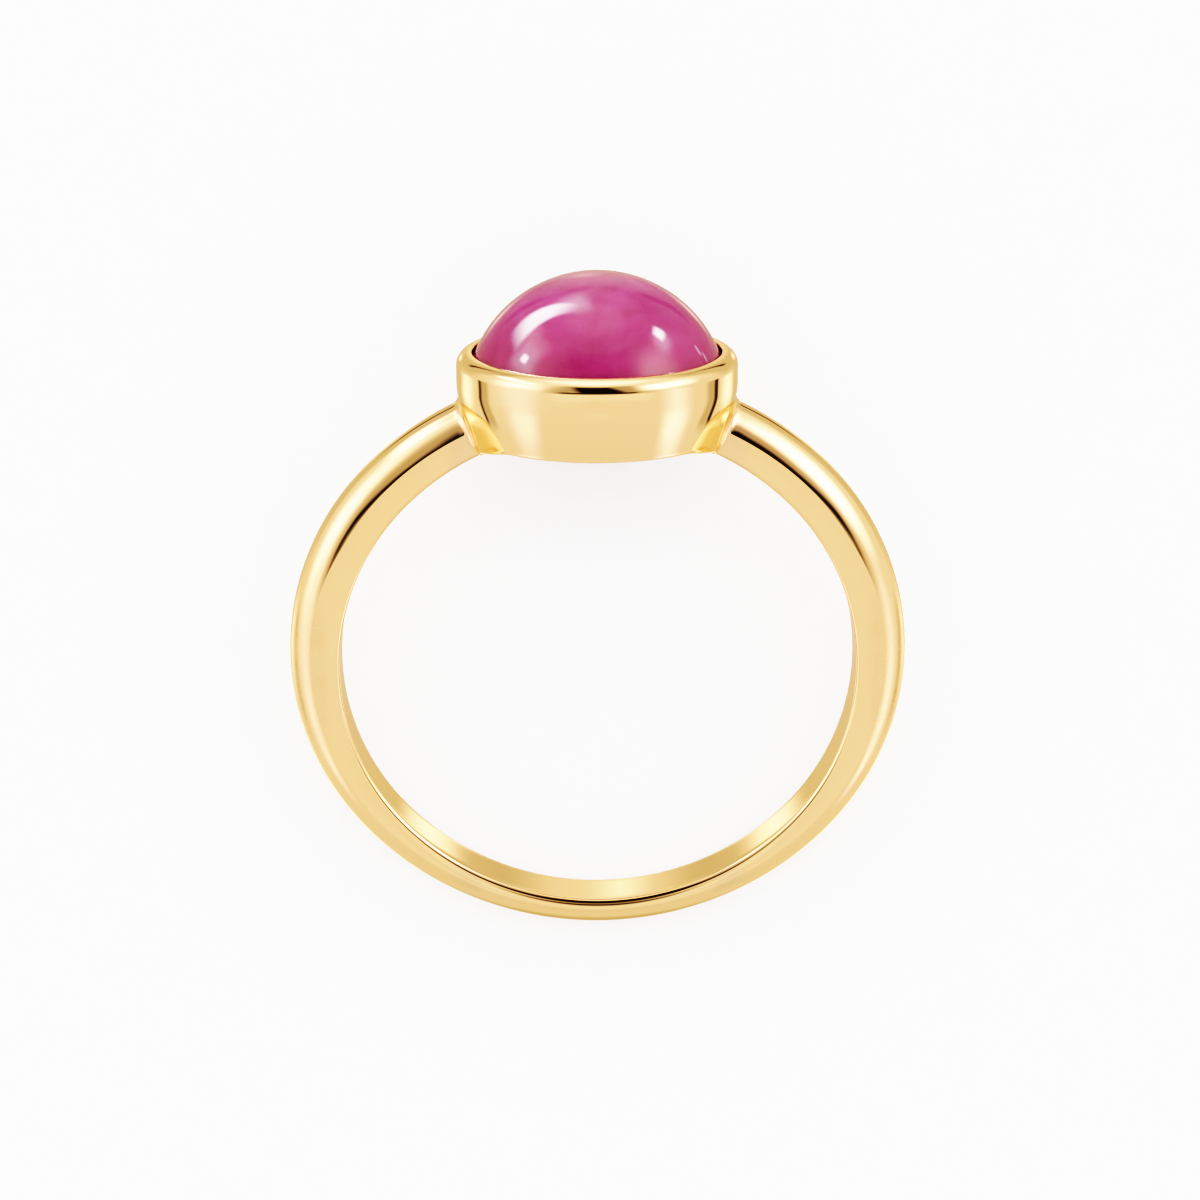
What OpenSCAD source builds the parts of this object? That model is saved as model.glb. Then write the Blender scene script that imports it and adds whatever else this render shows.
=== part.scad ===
// Ruby ring: a round bezel on a domed band, holding one round cabochon.
// Millimetres. The ring lies on its back: +Z is up, +Y points from the band to the stone.
// Levels are heights above the centre of the finger hole, measured toward the stone.

/* [Finger hole] */
// Inside width of the hole, across the hand
finger_width = 17.3; // [14:0.05:21]
// Inside height of the hole, from the band toward the stone
finger_height = 16.48; // [14:0.02:21]

/* [Band] */
// Outside width of the band, across the hand
band_outer_width = 20.7; // [17:0.05:25]
// Outside height of the band's oval, taken on past the bezel
band_outer_height = 19.3; // [16:0.02:25]
// How far the outside oval sits above the hole, which thins the band at its foot
band_raise = 0.34; // [0:0.01:0.6]
// Width of the band along the finger
band_width = 2.1; // [1.6:0.05:4]
// Radius of the domed outer face
band_dome_radius = 1.15; // [1.1:0.05:3]
// Rounding between dome and flank
band_edge_round = 0.18; // [0.1:0.01:0.4]
// Comfort rounding of the edges that touch the finger
band_inner_round = 0.16; // [0.05:0.01:0.3]

/* [Bezel] */
// Widest width of the bezel
bezel_width = 9.3; // [7:0.05:14]
// Level where the wall starts to bow in toward its foot
bezel_wide_level = 9.7; // [9:0.05:11]
// Radius of the bow in section
bezel_bow_radius = 3; // [1:0.1:8]
// Taper of the straight wall below the bow, in degrees
bezel_taper = 19; // [12:1:30]
// Level of the lip's top
lip_level = 10.68; // [10:0.01:12]
// Rounding of the lip's outer edge
lip_round = 0.46; // [0.15:0.01:0.5]
// Width across the mouth of the lip
lip_mouth_width = 8.24; // [6:0.01:12]
// Level of the bezel's flat foot
bezel_foot_level = 7.88; // [7:0.01:8.2]
// How far the foot rises clear of the finger's curve, in front of the band and behind it
foot_clearance = 0.14; // [0.02:0.01:0.4]

/* [Stone seat] */
// Level of the ledge under the stone
ledge_level = 9.42; // [8.8:0.01:10]
// Width of the open back at the ledge
back_width_at_ledge = 6.7; // [4:0.05:8]
// Width of the open back at the foot
back_width_at_foot = 7.2; // [4:0.05:8]
// Clearance between stone and metal
stone_gap = 0.05; // [0.02:0.01:0.1]

/* [Stone] */
// Radius of the cabochon's dome
stone_dome_radius = 4.385; // [4:0.005:7]
// Level of the centre of the dome
stone_centre_level = 8.89; // [8:0.01:10]
// Width across the girdle
stone_width = 8.44; // [6:0.01:12]
// Bevel at the stone's lower edge
stone_bevel = 0.25; // [0.1:0.01:0.5]

/* [Hidden] */
$fn = 120;
// Metal is worked a little past every cut so that no two faces coincide.
cut = 1;
band_half = band_width / 2;
wall_r = bezel_width / 2;
wall_centre_r = wall_r - bezel_bow_radius;
skirt_level = bezel_foot_level - 0.9;
gold = [0.93, 0.78, 0.47];
ruby = [0.76, 0.2, 0.45];

// The domed face ends where the edge rounding touches it.
edge_inset = band_half - band_edge_round;
edge_rise = sqrt(pow(band_dome_radius - band_edge_round, 2) - pow(edge_inset, 2));
edge_depth = band_dome_radius - edge_rise;
edge_angle = atan2(edge_inset, edge_rise);
// Depth of the blank behind the outer face, which reaches well into the hole.
blank_depth = 2.9;

// Four arcs joined at 45 degrees make each oval. This is the offset of their centres.
function oval_shift(w, h) = (w - h) / 2 * (1 + sin(45));
function side_radius(w, h) = w / 2 - oval_shift(w, h);
function crown_radius(w, h) = h / 2 + oval_shift(w, h);
hole_crown_r = crown_radius(finger_width, finger_height);
hole_crown_shift = oval_shift(finger_width, finger_height);

function arc(cx, cy, r, from, to, n) =
    [for (i = [0 : n]) let (a = from + (to - from) * i / n) [cx + r * cos(a), cy + r * sin(a)]];
function taper_radius(level) = wall_centre_r
    + (bezel_bow_radius + (level - bezel_wide_level) * sin(bezel_taper)) / cos(bezel_taper);

// Pose: the bezel's wall and the foot of the band both touch the ground.
foot_edge = band_outer_height / 2 - band_raise - edge_depth;
k_cos = edge_inset - wall_centre_r;
k_sin = bezel_wide_level + foot_edge;
k_sum = bezel_bow_radius - band_edge_round;
tilt = asin(k_sum / norm([k_cos, k_sin])) - atan2(k_cos, k_sin);
centre_height = foot_edge * sin(tilt) + edge_inset * cos(tilt) + band_edge_round;
stone_end = stone_centre_level * cos(tilt) + stone_dome_radius;
foot_end = (band_outer_height / 2 - band_raise - band_dome_radius) * cos(tilt) + band_dome_radius;
y_centre = (stone_end - foot_end) / 2;

module pose() {
    translate([0, -y_centre, centre_height]) rotate([tilt, 0, 0]) children();
}

// Carries a section around an oval. The section's x = 0 lies on the oval, inward is negative.
module around_oval(w, h) {
    shift = oval_shift(w, h);
    for (i = [0 : 3]) {
        side = i % 2 == 0;
        rotate([0, 0, 90 * i]) translate([side ? shift : -shift, 0, 0]) rotate([0, 0, -45])
            rotate_extrude(angle = 90)
                translate([side ? side_radius(w, h) : crown_radius(w, h), 0]) children();
    }
}

// Turns a section drawn as [radius, level] about the axis of the stone.
module about_stone() {
    rotate([-90, 0, 0]) rotate_extrude() children();
}

module band_section() {
    polygon(concat(
        [[-blank_depth, -band_half]],
        arc(-edge_depth, -edge_inset, band_edge_round, -90, -edge_angle, 4),
        [for (i = [1 : 11]) let (a = -edge_angle + 2 * edge_angle * i / 12)
            [-band_dome_radius + band_dome_radius * cos(a), band_dome_radius * sin(a)]],
        arc(-edge_depth, edge_inset, band_edge_round, edge_angle, 90, 4),
        [[-blank_depth, band_half]]
    ));
}

// The finger's cut, flared at both faces by the comfort rounding.
module hole_section() {
    r = band_inner_round;
    polygon(concat(
        [[-blank_depth, -band_half - cut], [r, -band_half - cut]],
        arc(r, -band_half + r, r, 270, 180, 4),
        arc(r, band_half - r, r, 180, 90, 4),
        [[r, band_half + cut], [-blank_depth, band_half + cut]]
    ));
}

module band() {
    difference() {
        translate([0, band_raise, 0]) around_oval(band_outer_width, band_outer_height) band_section();
        around_oval(finger_width, finger_height) hole_section();
    }
}

module bezel_blank() {
    top = lip_level - lip_round;
    about_stone() polygon(concat(
        [[0, skirt_level], [taper_radius(skirt_level), skirt_level]],
        arc(wall_centre_r, bezel_wide_level, bezel_bow_radius, -bezel_taper, 0, 8),
        arc(wall_r - lip_round, top, lip_round, 0, 90, 6),
        [[0, lip_level]]
    ));
}

// Below the foot the wall survives only beside the band, where it follows the finger's curve.
module foot_trim() {
    rise = 0.5;
    intersection() {
        translate([0, -hole_crown_shift, 0]) {
            cylinder(r = hole_crown_r, h = 3 * bezel_width, center = true);
            for (end = [0, 1]) mirror([0, 0, end]) translate([0, 0, band_half]) {
                cylinder(r1 = hole_crown_r, r2 = hole_crown_r + foot_clearance, h = rise);
                translate([0, 0, rise]) cylinder(r = hole_crown_r + foot_clearance, h = bezel_width);
            }
        }
        translate([-bezel_width, skirt_level - cut, -bezel_width])
            cube([2 * bezel_width, bezel_foot_level - skirt_level + cut, 2 * bezel_width]);
    }
}

module stone_well() {
    well = stone_width / 2 + stone_gap;
    girdle = sqrt(pow(stone_dome_radius, 2) - pow(stone_width / 2, 2)) + stone_centre_level;
    mouth = lip_mouth_width / 2;
    slope = (well - mouth) / (lip_level - girdle);
    about_stone() polygon([
        [0, skirt_level - cut],
        [back_width_at_foot / 2, skirt_level - cut],
        [back_width_at_foot / 2, bezel_foot_level],
        [back_width_at_ledge / 2, ledge_level],
        [well, ledge_level],
        [well, girdle],
        [mouth - slope * cut / 4, lip_level + cut / 4],
        [0, lip_level + cut / 4]
    ]);
}

module band_and_bezel() {
    color(gold) pose() difference() {
        union() {
            band();
            difference() {
                bezel_blank();
                foot_trim();
            }
        }
        stone_well();
    }
}

module cabochon() {
    base = ledge_level + stone_gap;
    r = stone_width / 2;
    color(ruby) pose() rotate([-90, 0, 0]) intersection() {
        translate([0, 0, stone_centre_level]) sphere(r = stone_dome_radius);
        union() {
            translate([0, 0, base]) cylinder(r1 = r - stone_bevel, r2 = r, h = stone_bevel);
            translate([0, 0, base + stone_bevel]) cylinder(r = r, h = 2 * stone_dome_radius);
        }
    }
}

band_and_bezel();
cabochon();
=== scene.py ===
"""Ruby ring: a polished gold band and bezel with one round cabochon, lying on its back.

The meshes are worked out in the ring's own axes, in millimetres, and then laid in the row frame:
x runs across the hand, u from the centre of the finger hole to the stone, a along the finger.
"""

import bpy
import numpy as np
from mathutils import Matrix, Vector


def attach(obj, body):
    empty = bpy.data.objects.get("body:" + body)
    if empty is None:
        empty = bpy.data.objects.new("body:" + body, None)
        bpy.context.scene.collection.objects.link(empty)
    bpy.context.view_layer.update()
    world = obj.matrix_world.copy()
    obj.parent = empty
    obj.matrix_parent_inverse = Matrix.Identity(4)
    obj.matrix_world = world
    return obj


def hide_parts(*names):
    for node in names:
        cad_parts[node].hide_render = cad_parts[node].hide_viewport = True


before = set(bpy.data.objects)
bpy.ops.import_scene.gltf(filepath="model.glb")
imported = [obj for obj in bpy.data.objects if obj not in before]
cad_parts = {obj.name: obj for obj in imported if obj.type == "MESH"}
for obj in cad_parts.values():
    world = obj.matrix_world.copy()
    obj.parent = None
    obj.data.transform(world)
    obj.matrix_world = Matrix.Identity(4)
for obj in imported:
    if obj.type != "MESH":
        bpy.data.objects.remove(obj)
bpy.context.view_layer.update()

MM = 0.001

# Sizes of the solid model, in millimetres
FINGER_WIDTH, FINGER_HEIGHT = 17.3, 16.48
BAND_OUTER_WIDTH, BAND_OUTER_HEIGHT, BAND_RAISE = 20.7, 19.3, 0.34
BAND_WIDTH = 2.1
DOME_RADIUS = 1.15
EDGE_ROUND = 0.18
INNER_ROUND = 0.16
BEZEL_RADIUS = 4.65
BEZEL_WIDE_LEVEL = 9.7
BEZEL_BOW = 3.0
LIP_LEVEL, LIP_ROUND = 10.68, 0.46
MOUTH_RADIUS = 4.12
FOOT_LEVEL, FOOT_CLEARANCE = 7.88, 0.14
LEDGE_LEVEL = 9.42
BACK_RADIUS_AT_LEDGE, BACK_RADIUS_AT_FOOT = 3.35, 3.6
STONE_GAP = 0.05
STONE_DOME, STONE_CENTRE, STONE_RADIUS, STONE_BEVEL = 4.385, 8.89, 4.22, 0.25

# Finishing that only the visual mesh has
SIDE_DOME, SHOULDER_DOME, DOME_EDGE = 1.129, 1.06, 0.03
FLANK_CROWN = 0.02
SOLDER_RADIUS = 0.36
FOOT_ROUND = 0.09
MOUTH_ROUND = 0.06
TUCK = 0.085
WALL_TAPER, WALL_KNEE = 0.4, 1.0
FOOT_RISE, FOOT_BLEND = 0.5, 0.1
GIRDLE_SOFTENING = 0.03
SHARP_ANGLE = np.radians(40)

HALF_WIDTH = BAND_WIDTH / 2
EDGE_INSET = HALF_WIDTH - EDGE_ROUND
EDGE_RISE = np.sqrt((DOME_RADIUS - EDGE_ROUND) ** 2 - EDGE_INSET**2)
EDGE_DEPTH = DOME_RADIUS - EDGE_RISE
BOW_CENTRE = BEZEL_RADIUS - BEZEL_BOW
GIRDLE_LEVEL = STONE_CENTRE + np.sqrt(STONE_DOME**2 - STONE_RADIUS**2)

# The ring's pose, worked out as in the solid model
FOOT_EDGE = BAND_OUTER_HEIGHT / 2 - BAND_RAISE - EDGE_DEPTH
TILT = np.arcsin(
    (BEZEL_BOW - EDGE_ROUND) / np.hypot(EDGE_INSET - BOW_CENTRE, BEZEL_WIDE_LEVEL + FOOT_EDGE)
) - np.arctan2(EDGE_INSET - BOW_CENTRE, BEZEL_WIDE_LEVEL + FOOT_EDGE)
CENTRE_HEIGHT = FOOT_EDGE * np.sin(TILT) + EDGE_INSET * np.cos(TILT) + EDGE_ROUND
STONE_END = STONE_CENTRE * np.cos(TILT) + STONE_DOME
FOOT_END = (BAND_OUTER_HEIGHT / 2 - BAND_RAISE - DOME_RADIUS) * np.cos(TILT) + DOME_RADIUS
CENTRE_Y = -(STONE_END - FOOT_END) / 2
RING_AXES = np.array(
    [[1, 0, 0], [0, np.cos(TILT), np.sin(TILT)], [0, -np.sin(TILT), np.cos(TILT)]]
)


def to_row(points):
    """Ring points in millimetres as row-frame points in metres."""
    return (np.asarray(points) @ RING_AXES + [0, CENTRE_Y, CENTRE_HEIGHT]) * MM


def direction_to_row(vector):
    return Vector(np.asarray(vector) @ RING_AXES)


# Shared geometry


def smooth_step(share):
    share = np.clip(share, 0, 1)
    return share * share * (3 - 2 * share)


def around_stone(radius, level, azimuth):
    """Points at a radius and a level about the axis of the stone."""
    radius, level, azimuth = np.broadcast_arrays(radius, level, azimuth)
    return np.stack([radius * np.cos(azimuth), level, radius * np.sin(azimuth)], -1)


def full_turn(steps):
    return np.arange(steps) / steps * 2 * np.pi


class Oval:
    """Four arcs joined at 45 degrees, given by the whole width and height."""

    def __init__(self, width, height, raised=0.0):
        self.shift = (width - height) / 2 * (1 + np.sqrt(0.5))
        self.side = width / 2 - self.shift
        self.crown = height / 2 + self.shift
        self.raised = raised

    def point(self, angle):
        """Points at the given normal angles, and their outward normals."""
        normal = np.stack([np.cos(angle), np.sin(angle)], -1)
        on_side = np.abs(normal[..., 0]) >= np.abs(normal[..., 1])
        radius = np.where(on_side, self.side, self.crown)
        centre_x = np.where(on_side, self.shift * np.sign(normal[..., 0]), 0.0)
        centre_u = np.where(on_side, 0.0, -self.shift * np.sign(normal[..., 1]))
        point = np.stack([centre_x, centre_u + self.raised], -1) + radius[..., None] * normal
        return point, normal

    def distance(self, x, u):
        """Signed distance from the oval's line, positive outside."""
        x, u = np.abs(x), np.abs(u - self.raised)
        beside = u <= x - self.shift
        return np.where(
            beside, np.hypot(x - self.shift, u) - self.side, np.hypot(x, u + self.shift) - self.crown
        )


HOLE = Oval(FINGER_WIDTH, FINGER_HEIGHT)
OUTSIDE = Oval(BAND_OUTER_WIDTH, BAND_OUTER_HEIGHT, BAND_RAISE)


def wall_radius(u):
    """The wall's radius at a level: upright, then bowing into the taper that runs to the foot."""
    below = np.clip(BEZEL_WIDE_LEVEL - u, 0, None)
    return BEZEL_RADIUS - WALL_TAPER * (np.hypot(below, WALL_KNEE) - WALL_KNEE)


def wall_distance(p):
    """Signed distance from the bezel's wall, positive outside, and its gradient."""
    radial = np.hypot(p[..., 0], p[..., 2])
    nearest = p[..., 1]
    for _ in range(6):
        below = np.clip(BEZEL_WIDE_LEVEL - nearest, 0, None)
        slope = WALL_TAPER * below / np.hypot(below, WALL_KNEE)
        gap = radial - wall_radius(nearest)
        nearest = p[..., 1] + gap * slope
    length = np.hypot(1, slope)
    gradient = np.stack([p[..., 0] / radial, -slope, p[..., 2] / radial], -1) / length[..., None]
    return gap * length, gradient


def foot_level(x, a):
    """The bezel's underside: flat in the middle, and along the finger's curve beside the band."""
    clearance = FOOT_CLEARANCE * smooth_step((np.abs(a) - HALF_WIDTH) / FOOT_RISE)
    curve = -HOLE.shift + np.sqrt((HOLE.crown + clearance) ** 2 - x**2)
    gap = np.clip(FOOT_BLEND - np.abs(curve - FOOT_LEVEL), 0, None)
    return np.minimum(curve, FOOT_LEVEL) - gap**2 / (4 * FOOT_BLEND)


def grid_faces(rows, columns, wrap_rows=False):
    """Quads between rows of points whose columns close into a loop."""
    i, j = np.meshgrid(np.arange(rows if wrap_rows else rows - 1), np.arange(columns), indexing="ij")
    here, above = i * columns, (i + 1) % rows * columns
    onward = (j + 1) % columns
    return np.stack([here + j, here + onward, above + onward, above + j], -1).reshape(-1, 4)


def fan_faces(centre, ring, flip=False):
    faces = [(centre, int(a), int(b)) for a, b in zip(ring, np.roll(ring, -1))]
    return [face[::-1] for face in faces] if flip else faces


def add_object(name, data):
    thing = bpy.data.objects.new(name, data)
    bpy.context.scene.collection.objects.link(thing)
    return thing


def mesh_piece(name, parts, material, node):
    """One object from (points, faces) parts in ring millimetres."""
    points, faces, start = [], [], 0
    for part_points, part_faces in parts:
        points.append(np.asarray(part_points).reshape(-1, 3))
        faces += [tuple(int(v) + start for v in face) for face in part_faces]
        start += len(points[-1])
    mesh = bpy.data.meshes.new(name)
    mesh.from_pydata(to_row(np.concatenate(points)).tolist(), [], faces)
    mesh.validate()
    mesh.shade_smooth()
    mesh.set_sharp_from_angle(angle=SHARP_ANGLE)
    mesh.materials.append(material)
    piece = add_object(name, mesh)
    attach(piece, "root")
    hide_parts(node)
    return piece


# The band


def shoulder_blend(angle):
    """0 round the foot and the sides of the band, 1 on the shoulders beside the bezel."""
    start, span = 0.05, 0.5
    return smooth_step((np.sin(angle) - start) / span)


def dome_outline(turn, angle):
    """Depth below the apex and place along the finger where the dome's normal has turned that far.

    The dome is a little rounder on the shoulders than at the sides, and ends in a crisp edge.
    """
    dome = SIDE_DOME + (SHOULDER_DOME - SIDE_DOME) * shoulder_blend(angle)
    inset = HALF_WIDTH - DOME_EDGE
    rise = np.sqrt((dome - DOME_EDGE) ** 2 - inset**2)
    on_dome = np.tan(turn) <= inset / rise
    depth = np.where(on_dome, dome * (1 - np.cos(turn)), dome - rise - DOME_EDGE * np.cos(turn))
    along = np.where(on_dome, dome * np.sin(turn), inset + DOME_EDGE * np.sin(turn))
    return depth, along, dome - rise


def band_section():
    """Columns of the band's section, apex first and then round through +a.

    Each holds the dome's turn or -1, the share of the way from the dome's edge to the inner
    rounding, the depth beyond that, a, the normal's parts outward and along a, and how far the
    solder fillet applies.
    """
    turns = np.concatenate([np.linspace(0, 60, 15), np.linspace(63, 89, 14)])
    half = [(t, 0, 0, 0, np.cos(t), np.sin(t), 1) for t in np.radians(turns)]
    for f in np.linspace(0, 1, 9)[:-1]:
        half.append((-1, f, 0, HALF_WIDTH - FLANK_CROWN * f**2, 0, 1, 1 - 0.5 * f**3))
    half += [
        (
            -1,
            1,
            INNER_ROUND * np.sin(t),
            HALF_WIDTH - FLANK_CROWN - (INNER_ROUND - FLANK_CROWN) * (1 - np.cos(t)),
            -np.sin(t),
            np.cos(t),
            0.5 * np.clip(1 - t / np.radians(60), 0, 1) ** 2,
        )
        for t in np.linspace(0, np.pi / 2, 10)
    ]
    half += [(-1, 1, INNER_ROUND, a, -1, 0, 0) for a in np.linspace(HALF_WIDTH - INNER_ROUND, 0, 5)[1:]]
    half = np.array(half)
    mirrored = half[-2:0:-1] * [1, 1, 1, -1, 1, -1, 1]
    return np.concatenate([half, mirrored])


SECTION = band_section()
REACH = SECTION[:, 6]


def band_surface(angle):
    """Points and normals of the band where the outside oval's normal has the given angle.

    The last axis of angle goes with the section's columns.
    """
    turn, share, beyond, along, out, side, _ = SECTION.T
    apex, normal = OUTSIDE.point(angle)
    first_guess = 1.5
    thickness = np.full(angle.shape, first_guess)
    for _ in range(8):
        inner = apex - normal * thickness[..., None]
        thickness = thickness + HOLE.distance(inner[..., 0], inner[..., 1])
    on_dome = turn >= 0
    depth, dome_along, edge_depth = dome_outline(np.where(on_dome, turn, 0), angle)
    below = edge_depth * (1 - share) + (thickness - INNER_ROUND) * share + beyond
    depth = np.where(on_dome, depth, below)
    along = np.where(on_dome, dome_along * np.sign(side + 1e-9), along)
    flat = apex - normal * depth[..., None]
    points = np.concatenate([flat, along[..., None]], -1)
    normals = np.concatenate([normal * out[:, None], np.broadcast_to(side, angle.shape)[..., None]], -1)
    return points, normals


def meet_bezel():
    """The angle where each line along the band starts to turn into the solder fillet."""
    reach = SOLDER_RADIUS * REACH
    level = reach - TUCK * (1 - REACH)
    low, high = np.full(len(SECTION), np.radians(20)), np.full(len(SECTION), np.radians(88))
    for _ in range(40):
        middle = (low + high) / 2
        points, normals = band_surface(middle)
        outside = wall_distance(points + reach[:, None] * normals)[0] > level
        low, high = np.where(outside, middle, low), np.where(outside, high, middle)
    return (low + high) / 2


def solder_fillet(angle):
    """Rings of points that roll from the band's end into the bezel's wall, and one buried in it."""
    steps = 10
    run_on, sink, lower = 0.06, 0.04, 0.03
    points, normals = band_surface(angle)
    weight = REACH[:, None]
    reach = np.maximum(SOLDER_RADIUS * weight, 1e-3)
    centre = points + reach * normals
    gradient = wall_distance(centre)[1]
    cosine = np.clip((normals * gradient).sum(-1, keepdims=True), -1, 1)
    turn = np.arccos(cosine)
    rings = []
    for step in range(1, steps + 1):
        t = step / steps
        mix = (np.sin((1 - t) * turn) * normals + np.sin(t * turn) * gradient) / np.sin(turn)
        rings.append(centre - reach * mix)
    onward = normals - cosine * gradient
    onward /= np.linalg.norm(onward, axis=-1, keepdims=True)
    buried = rings[-1] + run_on * weight * onward - sink * gradient - lower * (1 - weight) * normals
    return rings + [buried]


def band_part():
    """The band as one closed tube, whose capped ends are buried in the bezel's wall."""
    half_steps, cap_depth = 170, 0.15
    start = meet_bezel()
    t = np.linspace(0, 1, half_steps + 1)[:, None]
    right, _ = band_surface(start * (1 - t) - np.pi / 2 * t)
    end = solder_fillet(start)
    right = np.concatenate([np.array(end[::-1]), right])
    left = right[-2::-1] * [-1, 1, 1]
    rows = np.concatenate([right, left])
    faces = grid_faces(len(rows), len(SECTION)).tolist()
    caps = []
    for row in (0, len(rows) - 1):
        middle = rows[row].mean(0)
        inward = -wall_distance(middle)[1]
        caps.append(middle + cap_depth * inward)
    count = len(rows) * len(SECTION)
    first, last = np.arange(len(SECTION)), np.arange(count - len(SECTION), count)
    faces += fan_faces(count, first, flip=True) + fan_faces(count + 1, last)
    return np.concatenate([rows.reshape(-1, 3), caps]), faces


# The bezel


def bezel_part():
    """The cup as one closed grid: azimuth by azimuth, down the wall and back up the well."""
    turns = 320
    azimuth = full_turn(turns)
    cosine, sine = np.cos(azimuth), np.sin(azimuth)
    rings = []

    def ring(radius, level):
        rings.append(around_stone(radius, level, azimuth))

    def underside(radius):
        return foot_level(radius * cosine, radius * sine)

    lip_centre = BEZEL_RADIUS - LIP_ROUND
    for radius in np.linspace(MOUTH_RADIUS + MOUTH_ROUND, lip_centre, 3)[:-1]:
        ring(radius, LIP_LEVEL)
    for t in np.linspace(np.pi / 2, 0, 15):
        ring(lip_centre + LIP_ROUND * np.cos(t), LIP_LEVEL - LIP_ROUND * (1 - np.sin(t)))
    ring(BEZEL_RADIUS, (LIP_LEVEL - LIP_ROUND + BEZEL_WIDE_LEVEL) / 2)

    # The wall ends where it meets the underside, which follows the finger beside the band.
    bottom = np.full(turns, FOOT_LEVEL)
    for _ in range(30):
        bottom = (bottom + underside(wall_radius(bottom))) / 2
    for t in np.linspace(0, 1, 33):
        level = BEZEL_WIDE_LEVEL * (1 - t) + (bottom + FOOT_ROUND) * t
        ring(wall_radius(level), level)
    edge = wall_radius(bottom + FOOT_ROUND)
    for t in np.linspace(0, np.pi / 2, 7)[1:]:
        radius = edge - FOOT_ROUND * (1 - np.cos(t))
        ring(radius, underside(radius) + FOOT_ROUND * (1 - np.sin(t)))
    outer, inner = edge - FOOT_ROUND, BACK_RADIUS_AT_FOOT + FOOT_ROUND
    for t in np.linspace(0, 1, 7)[1:]:
        radius = outer * (1 - t) + inner * t
        ring(radius, underside(radius))
    for t in np.linspace(0, np.pi / 2, 6)[1:]:
        radius = inner - FOOT_ROUND * np.sin(t)
        ring(radius, underside(radius) + FOOT_ROUND * (1 - np.cos(t)))
    rim = rings[-1][:, 1]
    for t in np.linspace(0, 1, 9)[1:]:
        ring(
            BACK_RADIUS_AT_FOOT * (1 - t) + BACK_RADIUS_AT_LEDGE * t,
            rim * (1 - t) + (LEDGE_LEVEL - MOUTH_ROUND) * t,
        )
    for t in np.linspace(0, np.pi / 2, 5)[1:]:
        radius = BACK_RADIUS_AT_LEDGE + MOUTH_ROUND * (1 - np.cos(t))
        ring(radius, LEDGE_LEVEL - MOUTH_ROUND * (1 - np.sin(t)))
    well = STONE_RADIUS + STONE_GAP
    ring(well, LEDGE_LEVEL)
    ring(well, GIRDLE_LEVEL)
    for t in np.linspace(0, np.pi / 2, 6)[:-1]:
        ring(MOUTH_RADIUS + MOUTH_ROUND * (1 - np.cos(t)), LIP_LEVEL - MOUTH_ROUND * (1 - np.sin(t)))
    rows = np.array(rings)
    return rows.reshape(-1, 3), grid_faces(len(rows), turns, wrap_rows=True).tolist()


# The stone


def stone_part():
    """The cabochon ring by ring, from the top of the dome to the middle of the base."""
    turns = 160
    profile = []
    last = np.arcsin((STONE_RADIUS - GIRDLE_SOFTENING) / STONE_DOME)
    for t in np.linspace(0, last, 60)[1:]:
        profile.append((STONE_DOME * np.sin(t), STONE_CENTRE + STONE_DOME * np.cos(t)))
    base = LEDGE_LEVEL + STONE_GAP
    profile += [
        (STONE_RADIUS, GIRDLE_LEVEL - 2 * GIRDLE_SOFTENING),
        (STONE_RADIUS, base + STONE_BEVEL),
        (STONE_RADIUS - STONE_BEVEL, base),
        (STONE_RADIUS / 2, base),
    ]
    profile = np.array(profile)
    rows = around_stone(profile[:, :1], profile[:, 1:], full_turn(turns))
    count = len(rows) * turns
    points = np.concatenate([rows.reshape(-1, 3), [[0, STONE_CENTRE + STONE_DOME, 0], [0, base, 0]]])
    faces = grid_faces(len(rows), turns).tolist()
    faces += fan_faces(count, np.arange(turns), flip=True)
    faces += fan_faces(count + 1, np.arange(count - turns, count))
    return points, faces


# Materials


class Graph:
    """Adds nodes to a tree. Inputs are given as numbers, tuples or other nodes' sockets."""

    def __init__(self, tree):
        self.nodes, self.links = tree.nodes, tree.links

    def feed(self, socket, value):
        if isinstance(value, bpy.types.NodeSocket):
            self.links.new(value, socket)
        else:
            socket.default_value = value

    def add(self, kind, inputs=(), **settings):
        node = self.nodes.new("ShaderNode" + kind)
        for name, value in settings.items():
            setattr(node, name, value)
        for name, value in dict(inputs).items():
            self.feed(node.inputs[name], value)
        return node

    def math(self, operation, *values):
        node = self.nodes.new("ShaderNodeMath")
        node.operation = operation
        for socket, value in zip(node.inputs, values):
            self.feed(socket, value)
        return node.outputs[0]

    def product(self, first, *others):
        for other in others:
            first = self.math("MULTIPLY", first, other)
        return first

    def fade(self, value, low, high, at_low=0.0, at_high=1.0):
        """A smooth step from at_low to at_high as the value goes from low to high."""
        inputs = {"Value": value, "From Min": low, "From Max": high, "To Min": at_low, "To Max": at_high}
        return self.add("MapRange", inputs, interpolation_type="SMOOTHSTEP").outputs["Result"]

    def between(self, value, rise, fall):
        """1 from the end of the rise to the start of the fall, and 0 outside the two."""
        return self.product(self.fade(value, *rise), self.fade(value, *fall, 1, 0))

    def mix(self, share, first, second):
        """A plain number mixed from two."""
        return self.add("Mix", {0: share, 2: first, 3: second}, data_type="FLOAT").outputs[0]

    def mix_colour(self, share, first, second):
        return self.add("Mix", {0: share, 6: first, 7: second}, data_type="RGBA").outputs[2]

    def along_axes(self, vector):
        """The parts of a row-frame vector along the ring's x, u and a."""
        return [
            self.add("VectorMath", {0: vector, 1: tuple(axis)}, operation="DOT_PRODUCT").outputs["Value"]
            for axis in RING_AXES
        ]

    def noise(self, place, scale, detail, roughness=0.5, distortion=0.0):
        inputs = {
            "Vector": place,
            "Scale": scale,
            "Detail": detail,
            "Roughness": roughness,
            "Distortion": distortion,
        }
        return self.add("TexNoise", inputs).outputs["Fac"]


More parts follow.
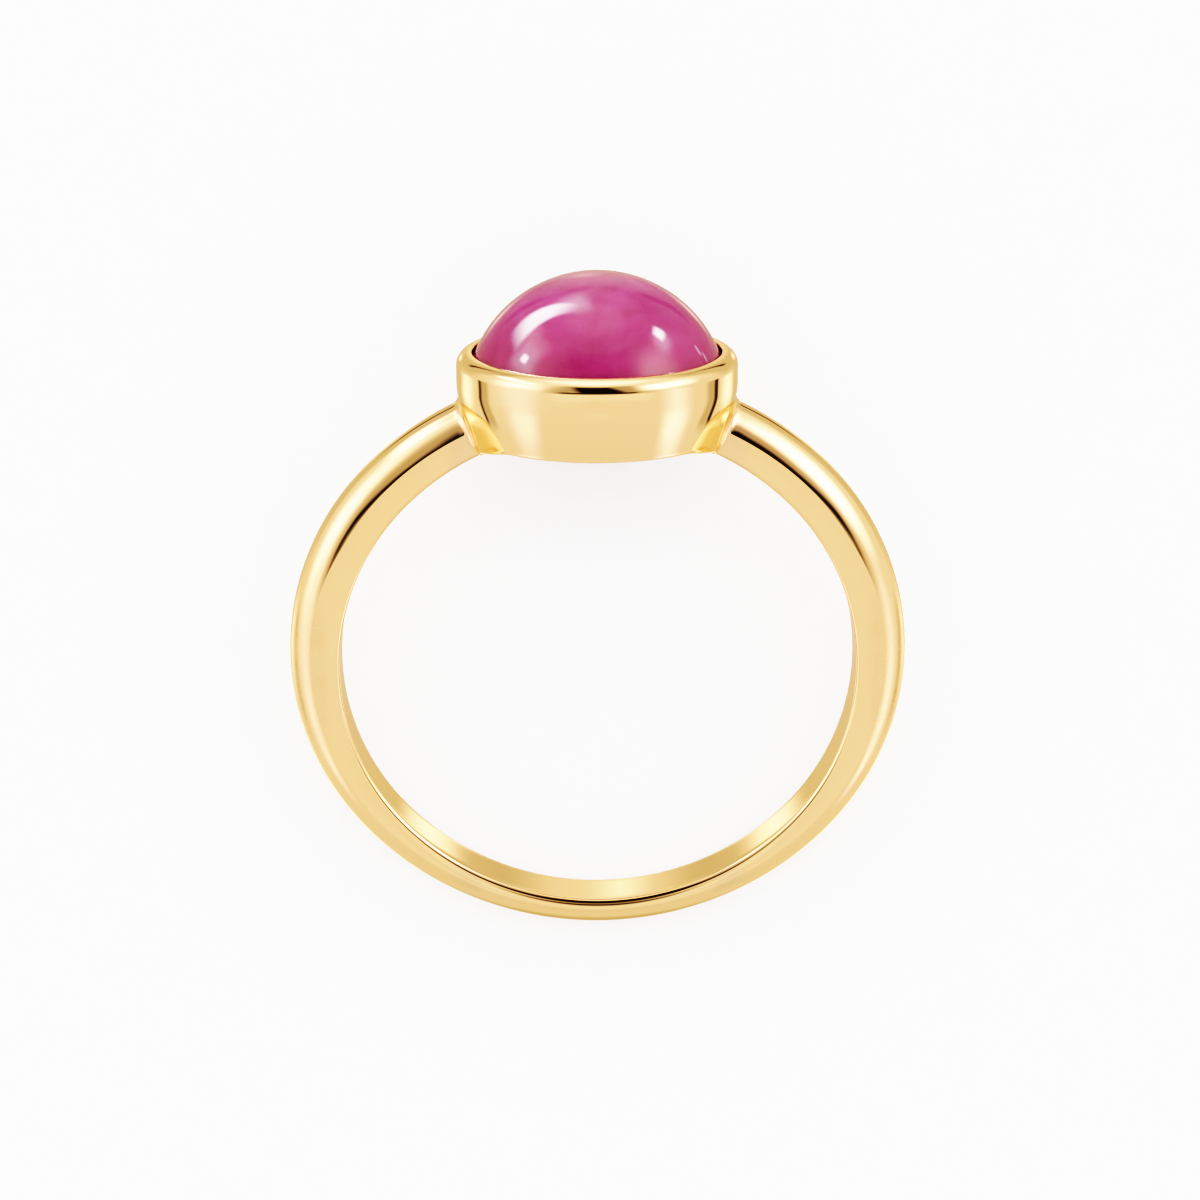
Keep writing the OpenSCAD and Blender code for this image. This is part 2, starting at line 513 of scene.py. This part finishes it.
def ring_place(graph):
    """The shaded point in the ring's own axes, in millimetres, as one socket and as x, u and a."""
    place = graph.add("TexCoord").outputs["Object"]
    centre = (0, CENTRE_Y * MM, CENTRE_HEIGHT * MM)
    place = graph.add("VectorMath", {0: place, 1: centre}, operation="SUBTRACT").outputs[0]
    place = graph.add("VectorMath", {0: place, "Scale": 1 / MM}, operation="SCALE").outputs[0]
    return place, graph.along_axes(place)


def empty_graph(owner):
    """The graph of a new material or world, without the nodes that it starts with."""
    owner.use_nodes = True
    graph = Graph(owner.node_tree)
    graph.nodes.clear()
    return graph


def new_material(name):
    material = bpy.data.materials.new(name)
    graph = empty_graph(material)
    output = graph.add("OutputMaterial")
    shader = graph.add("BsdfPrincipled")
    graph.links.new(shader.outputs["BSDF"], output.inputs["Surface"])
    return material, graph, shader


def corner_painted_shade(graph, x, u, a):
    """1 on the band's flank and the fillet where they meet the bezel, where the gold is darkened as
    painted shade.
    """
    beside_bezel = graph.between(graph.math("ABSOLUTE", x), (3.8, 4.2), (4.5, 5.3))
    beside_band = graph.between(graph.math("ABSOLUTE", a), (0.85, 1.0), (1.2, 1.45))
    return graph.product(beside_bezel, beside_band, graph.fade(u, 9.2, 9.6, 1, 0))


def worn_side(graph, x, u):
    """1 along the outer sides of the band, which rub against other things."""
    outside = graph.fade(graph.math("ABSOLUTE", x), 8.7, 9.3)
    return graph.product(outside, graph.between(u, (-7, -3.5), (1.5, 4.5)))


def gold_material():
    """Polished gold, hazed by wear along the outer sides of the band and on the lip's crest, with
    painted shade in the corners where the band meets the bezel.
    """
    material, graph, shader = new_material("polished_gold")
    place, (x, u, a) = ring_place(graph)
    tone = graph.fade(graph.noise(place, 0.3, detail=3), 0.3, 0.7)
    colour = graph.mix_colour(tone, (1.0, 0.798, 0.515, 1), (1.0, 0.815, 0.548, 1))
    # Painted shade: the gold is a little darker in the corners where the band meets the bezel
    colour = graph.mix_colour(corner_painted_shade(graph, x, u, a), colour, (0.89, 0.735, 0.53, 1))
    graph.feed(shader.inputs["Base Color"], colour)
    shader.inputs["Metallic"].default_value = 1
    shader.inputs["Specular Tint"].default_value = (1.0, 0.92, 0.78, 1)
    haze = graph.noise(place, 1.1, detail=4, roughness=0.6)
    polish = graph.fade(haze, 0.3, 0.75, 0.015, 0.05)
    rough = graph.mix(worn_side(graph, x, u), polish, graph.fade(haze, 0.3, 0.75, 0.24, 0.32))
    crest = graph.fade(u, LIP_LEVEL - 0.12, LIP_LEVEL - 0.04)
    graph.feed(shader.inputs["Roughness"], graph.mix(crest, rough, 0.16))
    # Polishing leaves the surface faintly wavy, more so on the shoulders
    waves = graph.noise(place, 0.45, detail=1)
    ripples = graph.product(graph.noise(place, 1.1, detail=0), graph.fade(u, -1, 5, 0.3, 1.8))
    height = graph.math("ADD", waves, ripples)
    bump = graph.add("Bump", {"Strength": 1.0, "Distance": 0.003 * MM, "Height": height})
    graph.feed(shader.inputs["Normal"], bump.outputs["Normal"])
    return material


def ruby_material():
    """Cloudy pink-red stone: silk and a few specks in a translucent body, polished outside, with painted
    shade that darkens it toward the bezel's lip.
    """
    material, graph, shader = new_material("cloudy_ruby")
    place, (_, u, _) = ring_place(graph)
    silk = graph.fade(graph.noise(place, 0.45, detail=5, roughness=0.6, distortion=0.6), 0.3, 0.7)
    colour = graph.mix_colour(silk, (0.170, 0.017, 0.073, 1), (0.228, 0.036, 0.112, 1))
    # Painted shade: the stone's colour darkens toward the bezel's lip
    painted_low_shade = graph.fade(u, LIP_LEVEL - 0.2, LIP_LEVEL + 1.6, 0.45, 0)
    colour = graph.mix_colour(painted_low_shade, colour, (0.135, 0.012, 0.045, 1))
    flecks = graph.add("TexVoronoi", {"Vector": place, "Scale": 1.6}).outputs["Distance"]
    fleck = graph.fade(flecks, 0.03, 0.07, 0.55, 0)
    colour = graph.mix_colour(fleck, colour, (0.05, 0.004, 0.015, 1))
    graph.feed(shader.inputs["Base Color"], colour)
    scratch = graph.noise(place, 2.5, detail=4)
    graph.feed(shader.inputs["Roughness"], graph.fade(scratch, 0.35, 0.7, 0.02, 0.045))
    shader.inputs["IOR"].default_value = 1.77
    shader.inputs["Specular IOR Level"].default_value = 0.26
    shader.inputs["Subsurface Weight"].default_value = 1
    shader.inputs["Subsurface Radius"].default_value = (1, 0.35, 0.6)
    shader.inputs["Subsurface Scale"].default_value = 0.8 * MM
    return material


def floor_material():
    material, graph, shader = new_material("white_paper")
    place = graph.add("TexCoord").outputs["Object"]
    grain = graph.fade(graph.noise(place, 900, detail=4), 0.3, 0.7)
    colour = graph.mix_colour(grain, (0.855, 0.855, 0.855, 1), (0.875, 0.875, 0.875, 1))
    graph.feed(shader.inputs["Base Color"], colour)
    shader.inputs["Roughness"].default_value = 0.7
    shader.inputs["Specular IOR Level"].default_value = 0.0
    return material


def build_floor(material):
    half = 160 * MM
    corners = [(-half, -half, 0), (half, -half, 0), (half, half, 0), (-half, half, 0)]
    mesh = bpy.data.meshes.new("floor")
    mesh.from_pydata(corners, [], [(0, 1, 2, 3)])
    mesh.materials.append(material)
    floor = add_object("floor", mesh)
    # The photographed ring stands free, so its polish mirrors the studio on all sides
    floor.visible_glossy = False


# Light

ROOM_TINT = (1.0, 0.725, 0.48)
SOFTBOX_TINT = (1.0, 0.65, 0.506)
WINDOW_TINT = (0.93, 0.92, 1.0)


class Studio:
    """A white studio, drawn by direction in the ring's axes.

    Azimuth is 0 toward the camera's side of the ring and 90 toward +x. Elevation is 90 above the
    stone. Both are in degrees. Each patch of light or dark covers those drawn before it.
    """

    def __init__(self, graph, direction):
        self.graph = graph
        x, u, a = graph.along_axes(direction)
        degree = np.degrees(1)
        self.azimuth = graph.product(graph.math("ARCTAN2", x, a), degree)
        self.aside = graph.math("ABSOLUTE", self.azimuth)
        self.elevation = graph.product(graph.math("ARCSINE", u), degree)
        self.toward_stone = u
        self.level = 0.0
        self.colour = (*ROOM_TINT, 1)

    def walls(self, stops):
        """The even light of the room by elevation."""
        along = self.graph.math("MULTIPLY_ADD", self.elevation, 1 / 180, 0.5)
        ramp = self.graph.add("ValToRGB", {0: along})
        points = ramp.color_ramp.elements
        while len(points) < len(stops):
            points.new(0.5)
        for point, (elevation, level) in zip(points, stops):
            point.position = elevation / 180 + 0.5
            point.color = (level / 2, level / 2, level / 2, 1)
        self.level = self.graph.product(ramp.outputs[0], 2.0)

    def patch(
        self, level, elevation, height, azimuth=0, width=None, soft=(8, 8), lean=0, both=False, tint=None
    ):
        """Half width and half height, and the softness of the edges across and up.

        The middle leans toward +x by that many degrees for each degree up. With both, the patch is
        drawn on the left and on the right.
        """
        graph = self.graph
        up = graph.math("ABSOLUTE", graph.math("SUBTRACT", self.elevation, elevation))
        share = graph.fade(up, height - soft[1], height + soft[1], 1, 0)
        if width is not None:
            middle = azimuth
            if lean:
                middle = graph.math("MULTIPLY_ADD", self.elevation, lean, azimuth - lean * elevation)
            across = graph.math("SUBTRACT", self.aside if both else self.azimuth, middle)
            across = graph.math("ABSOLUTE", across)
            share = graph.product(share, graph.fade(across, width - soft[0], width + soft[0], 1, 0))
        self.level = graph.mix(share, self.level, level)
        if tint:
            # Bright light colours its soft edge further out than it covers it
            self.colour = graph.mix_colour(graph.math("POWER", share, 0.5), self.colour, (*tint, 1))


def draw_studio(studio):
    studio.walls(
        ((-90, 0.8), (-70, 0.75), (-45, 0.85), (-25, 0.9), (-12, 0.9), (10, 0.92), (60, 1.2), (90, 1.3))
    )
    # Softboxes to the left and right with their tails, the ceiling, and a strip high on the left
    studio.patch(4.2, 17, 17, azimuth=-70, width=14, soft=(22, 24), tint=SOFTBOX_TINT)
    studio.patch(5.0, 29, 16, azimuth=58, width=24, soft=(20, 12), lean=0.35, tint=SOFTBOX_TINT)
    studio.patch(1.5, -17, 24, azimuth=-68, width=9, soft=(12, 9), lean=0.3, tint=SOFTBOX_TINT)
    studio.patch(1.8, -32, 11, azimuth=-67, width=9, soft=(10, 8), lean=0.3, tint=SOFTBOX_TINT)
    studio.patch(1.8, -20, 20, azimuth=70, width=8, soft=(13, 12), lean=-0.3, tint=SOFTBOX_TINT)
    studio.patch(2.3, -32, 11, azimuth=71, width=8, soft=(10, 8), lean=-0.3, tint=SOFTBOX_TINT)
    studio.patch(2.5, 86, 14, soft=(8, 7.5), tint=SOFTBOX_TINT)
    studio.patch(3.8, 45.5, 6, azimuth=-97, width=30, soft=(11, 5), tint=SOFTBOX_TINT)
    # Behind the ring: dusk with bright panes, and the dark edges of the softboxes
    studio.patch(0.65, -8, 14, azimuth=167, width=24, soft=(12, 8), both=True)
    studio.patch(0.6, 29, 28, azimuth=142, width=25, soft=(10, 10), lean=-0.15, both=True)
    studio.patch(0.35, 48, 2, azimuth=155, width=21, soft=(4, 6), both=True)
    studio.patch(0.04, 31, 10, azimuth=148, width=4, soft=(2.5, 4), lean=0.3, both=True)
    studio.patch(0.5, -19, 13, azimuth=106, width=5, soft=(3, 3), both=True)
    studio.patch(0.06, -18, 12, azimuth=-112.5, width=2.2, soft=(2, 3), lean=0.1)
    studio.patch(0.04, -18, 12, azimuth=113.5, width=3, soft=(2, 3), lean=-0.1)
    studio.patch(2.5, -14.5, 5, azimuth=134.5, width=7, soft=(10, 5), lean=-0.3, both=True)
    studio.patch(2.5, -29, 7, azimuth=160, width=9, soft=(6, 5), both=True)
    studio.patch(0.55, 15, 4, azimuth=166, width=4, soft=(4, 4), both=True)
    studio.patch(2.6, 5, 3, azimuth=161, width=3, soft=(5, 4), both=True)
    for azimuth in (-177.5, 182.5):
        studio.patch(2.4, 20, 3, azimuth=azimuth, width=1, soft=(5, 6))
    studio.patch(0.5, -54, 16, azimuth=180, width=21, soft=(12, 11), both=True)
    # The dark flag in front, brown at its edge and black at its core, with two pale cards below it
    studio.patch(0.42, 25, 31, azimuth=0, width=41, soft=(15, 2.5))
    studio.patch(0.015, 25, 23.5, azimuth=-1, width=19, soft=(5, 4.5), lean=-0.22)
    studio.patch(0.015, 0.5, 4.5, azimuth=0, width=32, soft=(5, 4), lean=0.2)
    studio.patch(1.06, -10.8, 1.8, azimuth=3, width=42, soft=(8, 1.5))
    studio.patch(0.94, -21, 4.5, azimuth=0, width=9.5, soft=(5, 1.8))


WINDOWS_CENTRE, WINDOWS_RADIUS = (0.0, STONE_CENTRE, 0.0), 150.0


def draw_windows(studio):
    """A haze, and windows whose light the stone alone mirrors, on top of the studio."""
    studio.patch(0.28, 45, 20, azimuth=150, width=45, soft=(15, 12), both=True)
    studio.patch(3, 33, 9, azimuth=-84, width=14, soft=(8, 6))
    studio.patch(3.2, 67, 10, azimuth=-145, width=22, soft=(13, 10))
    studio.patch(17, 51, 13, azimuth=-124, width=13, soft=(5, 10), lean=-0.6)
    studio.patch(3, 44, 6, azimuth=92, width=10, soft=(8, 5))
    studio.patch(22, 47.5, 3.5, azimuth=98, width=6, soft=(4, 2.5))
    studio.patch(20, 33, 2.5, azimuth=-84, width=4, soft=(2.5, 1.5))
    studio.patch(3, 18, 2.5, azimuth=121, width=1.2, soft=(1, 1.2))
    studio.patch(2.5, 12, 2, azimuth=125, width=1, soft=(1, 1.2))


def window_material():
    """Window light by direction, on a surface that is clear everywhere else."""
    material = bpy.data.materials.new("windows")
    material.cycles.emission_sampling = "NONE"
    graph = empty_graph(material)
    place = graph.add("TexCoord").outputs["Object"]
    centre = tuple(to_row(WINDOWS_CENTRE))
    place = graph.add("VectorMath", {0: place, 1: centre}, operation="SUBTRACT").outputs[0]
    studio = Studio(graph, graph.add("VectorMath", {0: place}, operation="NORMALIZE").outputs[0])
    draw_windows(studio)
    light = graph.add("Emission", {"Color": (*WINDOW_TINT, 1), "Strength": studio.level})
    clear = graph.add("BsdfTransparent")
    both = graph.add("AddShader", {0: light.outputs[0], 1: clear.outputs[0]})
    graph.links.new(both.outputs[0], graph.add("OutputMaterial").inputs["Surface"])
    return material


def build_windows(stone):
    """A dome that only the stone mirrors: its windows would glare in the gold."""
    turns, rows = 48, 23
    polar = np.linspace(0, np.pi, rows + 2)[1:-1, None]
    points = around_stone(np.sin(polar), np.cos(polar), full_turn(turns))
    points = np.concatenate([points.reshape(-1, 3), [[0, 1, 0], [0, -1, 0]]])
    points = points * WINDOWS_RADIUS + WINDOWS_CENTRE
    count = rows * turns
    faces = grid_faces(rows, turns).tolist()
    faces += fan_faces(count, np.arange(turns)) + fan_faces(count + 1, np.arange(count - turns, count))
    mesh = bpy.data.meshes.new("windows")
    mesh.from_pydata(to_row(points).tolist(), [], faces)
    mesh.shade_smooth()
    mesh.materials.append(window_material())
    dome = add_object("windows", mesh)
    for ray in ("camera", "diffuse", "shadow", "transmission"):
        setattr(dome, "visible_" + ray, False)
    mirrors = bpy.data.collections.new("mirrors_windows")
    mirrors.objects.link(stone)
    dome.light_linking.receiver_collection = mirrors


def build_world():
    world = bpy.data.worlds.new("studio")
    bpy.context.scene.world = world
    world.cycles.sampling_method = "NONE"
    graph = empty_graph(world)
    studio = Studio(graph, graph.add("TexCoord").outputs["Generated"])
    draw_studio(studio)
    # Matt surfaces are lit by a white sky, stronger beyond the stone, and the eye sees white paper
    sky_level = graph.math("MULTIPLY_ADD", studio.toward_stone, 1.0, 1.9)
    white = (1, 1, 1, 1)
    drawn, sky, paper = (
        graph.add("Background", {"Color": colour, "Strength": level}).outputs[0]
        for colour, level in ((studio.colour, studio.level), (white, sky_level), (white, 1.68))
    )
    rays = graph.add("LightPath").outputs
    seen = graph.add("MixShader", {0: rays["Is Diffuse Ray"], 1: drawn, 2: sky})
    seen = graph.add("MixShader", {0: rays["Is Camera Ray"], 1: seen.outputs[0], 2: paper})
    graph.links.new(seen.outputs[0], graph.add("OutputWorld").inputs["Surface"])


def set_film(view):
    """Lets the highlights roll off to white and deepens the shadows, as the photograph does."""
    view.view_transform = "Standard"
    view.use_curve_mapping = True
    mapping = view.curve_mapping
    white = 4.0
    mapping.white_level = (white, white, white)
    curve = mapping.curves[3]
    points = (
        (0.03, 0.008), (0.06, 0.034), (0.1, 0.082), (0.17, 0.205), (0.25, 0.35), (0.35, 0.5),
        (0.5, 0.645), (0.7, 0.79), (0.9, 0.885), (1.2, 0.945), (1.7, 0.978), (2.5, 0.992),
    )
    for light, shown in points:
        curve.points.new(light / white, shown)
    for point in curve.points:
        point.handle_type = "AUTO_CLAMPED"
    mapping.update()


# Camera: the photograph's view of the ring, in the ring's own axes

CAMERA_DISTANCE = 130.0
CAMERA_ELEVATION = np.radians(16.24)
CAMERA_YAW = np.radians(-0.78)
CAMERA_ROLL = np.radians(0.15)
CAMERA_TARGET = (0.078, 2.09, 0)
FOCAL_PIXELS, IMAGE_PIXELS = 3873.0, 1200
SENSOR_WIDTH = 36.0


def build_camera():
    level = np.cos(CAMERA_ELEVATION)
    back = np.array([np.sin(CAMERA_YAW) * level, np.sin(CAMERA_ELEVATION), np.cos(CAMERA_YAW) * level])
    right = np.array([np.cos(CAMERA_YAW), 0, -np.sin(CAMERA_YAW)])
    up = np.cross(back, right)
    roll = CAMERA_ROLL
    right, up = np.cos(roll) * right - np.sin(roll) * up, np.sin(roll) * right + np.cos(roll) * up
    place = np.array(CAMERA_TARGET) + back * CAMERA_DISTANCE
    data = bpy.data.cameras.new("photo_camera")
    data.sensor_width = SENSOR_WIDTH
    data.lens = FOCAL_PIXELS / IMAGE_PIXELS * SENSOR_WIDTH
    data.clip_start = 5 * MM
    data.clip_end = 5
    camera = add_object("photo_camera", data)
    axes = Matrix([direction_to_row(v) for v in (right, up, back)]).transposed()
    camera.matrix_world = Matrix.Translation(Vector(to_row(place))) @ axes.to_4x4()
    bpy.context.scene.camera = camera


set_film(bpy.context.scene.view_settings)
gold = gold_material()
mesh_piece("gold_band_and_bezel", [band_part(), bezel_part()], gold, "band_and_bezel")
stone = mesh_piece("ruby_cabochon", [stone_part()], ruby_material(), "cabochon")
build_floor(floor_material())
build_world()
build_windows(stone)
build_camera()
